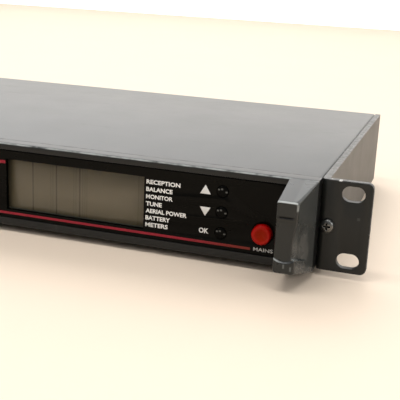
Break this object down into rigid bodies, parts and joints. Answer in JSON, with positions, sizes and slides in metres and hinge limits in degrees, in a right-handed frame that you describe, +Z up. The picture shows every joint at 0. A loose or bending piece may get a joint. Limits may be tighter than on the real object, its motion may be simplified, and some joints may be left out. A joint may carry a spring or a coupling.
{
  "type": "wireless receiver unit",
  "caption": "Rack-width wireless microphone receiver, one rack unit high: black case, dark display window, push buttons, red power button, end handles and slotted rack ears.",
  "frame": {"origin": "on the surface that the feet stand on, below the middle of the whole unit's length, width and depth", "axes": "+X to the right seen from the front, +Y from the front panel to the rear sockets, +Z up"},
  "size_m": [0.4826, 0.232, 0.0466],
  "materials": {
    "case_paint": "satin black powder coat on folded steel sheet",
    "bracket_paint": "fine-textured satin black paint",
    "frame_finish": "satin dark moulded plastic",
    "handle_finish": "satin dark grey moulded plastic",
    "window_sheet": "smoked acrylic, printed on its back",
    "display_glass": "unlit liquid crystal glass",
    "display_metal": "black stamped steel",
    "backlight": "white light guide",
    "circuit_board": "green solder resist",
    "button_black": "fine matte black",
    "switch_black": "moulded black",
    "power_red": "glossy translucent red",
    "rod_nylon": "natural nylon",
    "tinplate": "bright tinplate",
    "transformer_steel": "varnished laminations and yellow wrap",
    "heat_sink_metal": "extruded",
    "capacitor_sleeve": "shrink sleeve",
    "nickel": "nickel plate",
    "socket_black": "moulded black",
    "fuse_glass": "clear tube with metal ends",
    "foot_rubber": "black rubber",
    "black_screw": "blackened steel",
    "zinc_screw": "zinc plated"
  },
  "bodies": {
    "chassis": {"top_cover": "case_paint", "bottom_tray": "case_paint", "rear_panel": "case_paint", "rack_bracket_left": "bracket_paint", "rack_bracket_right": "bracket_paint", "front_frame": "frame_finish", "front_window": "window_sheet", "handle_left": "handle_finish", "handle_right": "handle_finish", "lcd_bezel": "display_metal", "lcd_glass": "display_glass", "lcd_backlight": "backlight", "lcd_board": "circuit_board", "display_board": "circuit_board", "button_switch_up": "switch_black", "button_switch_down": "switch_black", "button_switch_set": "switch_black", "power_switch": "switch_black", "main_board": "circuit_board", "supply_board": "circuit_board", "tuner_can_a": "tinplate", "tuner_can_b": "tinplate", "mains_transformer": "transformer_steel", "heat_sink": "heat_sink_metal", "supply_capacitor": "capacitor_sleeve", "aerial_socket_a": "nickel", "aerial_socket_b": "nickel", "aerial_nut_a": "nickel", "aerial_nut_b": "nickel", "balanced_shell": "nickel", "balanced_insert": "socket_black", "line_jack": "socket_black", "line_jack_nut": "nickel", "mains_inlet": "socket_black", "foot_front_left": "foot_rubber", "foot_front_right": "foot_rubber", "foot_rear_left": "foot_rubber", "foot_rear_right": "foot_rubber", "ear_screw_left": "black_screw", "bracket_screw_left_upper": "black_screw", "handle_bolt_left_upper": "zinc_screw", "bracket_screw_left_lower": "black_screw", "handle_bolt_left_lower": "zinc_screw", "ear_screw_right": "black_screw", "bracket_screw_right_upper": "black_screw", "handle_bolt_right_upper": "zinc_screw", "bracket_screw_right_lower": "black_screw", "handle_bolt_right_lower": "zinc_screw", "cover_screw_left": "black_screw", "cover_screw_middle": "black_screw", "cover_screw_right": "black_screw"},
    "up_button": {"button_up": "button_black"},
    "down_button": {"button_down": "button_black"},
    "set_button": {"button_set": "button_black"},
    "power_plunger": {"power_button": "power_red", "power_rod": "rod_nylon"},
    "fuse_carrier": {"fuse_drawer": "socket_black", "fuse": "fuse_glass"}
  },
  "joints": [
    {"name": "up_button_press", "type": "slide", "parent": "chassis", "child": "up_button", "axis": [0, 1, 0], "range_m": [0, 0.0006], "stiffness_N_per_m": 2500},
    {"name": "down_button_press", "type": "slide", "parent": "chassis", "child": "down_button", "axis": [0, 1, 0], "range_m": [0, 0.0006], "stiffness_N_per_m": 2500},
    {"name": "set_button_press", "type": "slide", "parent": "chassis", "child": "set_button", "axis": [0, 1, 0], "range_m": [0, 0.0006], "stiffness_N_per_m": 2500},
    {"name": "power_button_press", "type": "slide", "parent": "chassis", "child": "power_plunger", "axis": [0, 1, 0], "range_m": [0, 0.0025], "stiffness_N_per_m": 1200},
    {"name": "fuse_drawer_slide", "type": "slide", "parent": "chassis", "child": "fuse_carrier", "axis": [0, 1, 0], "range_m": [0, 0.015]}
  ]
}
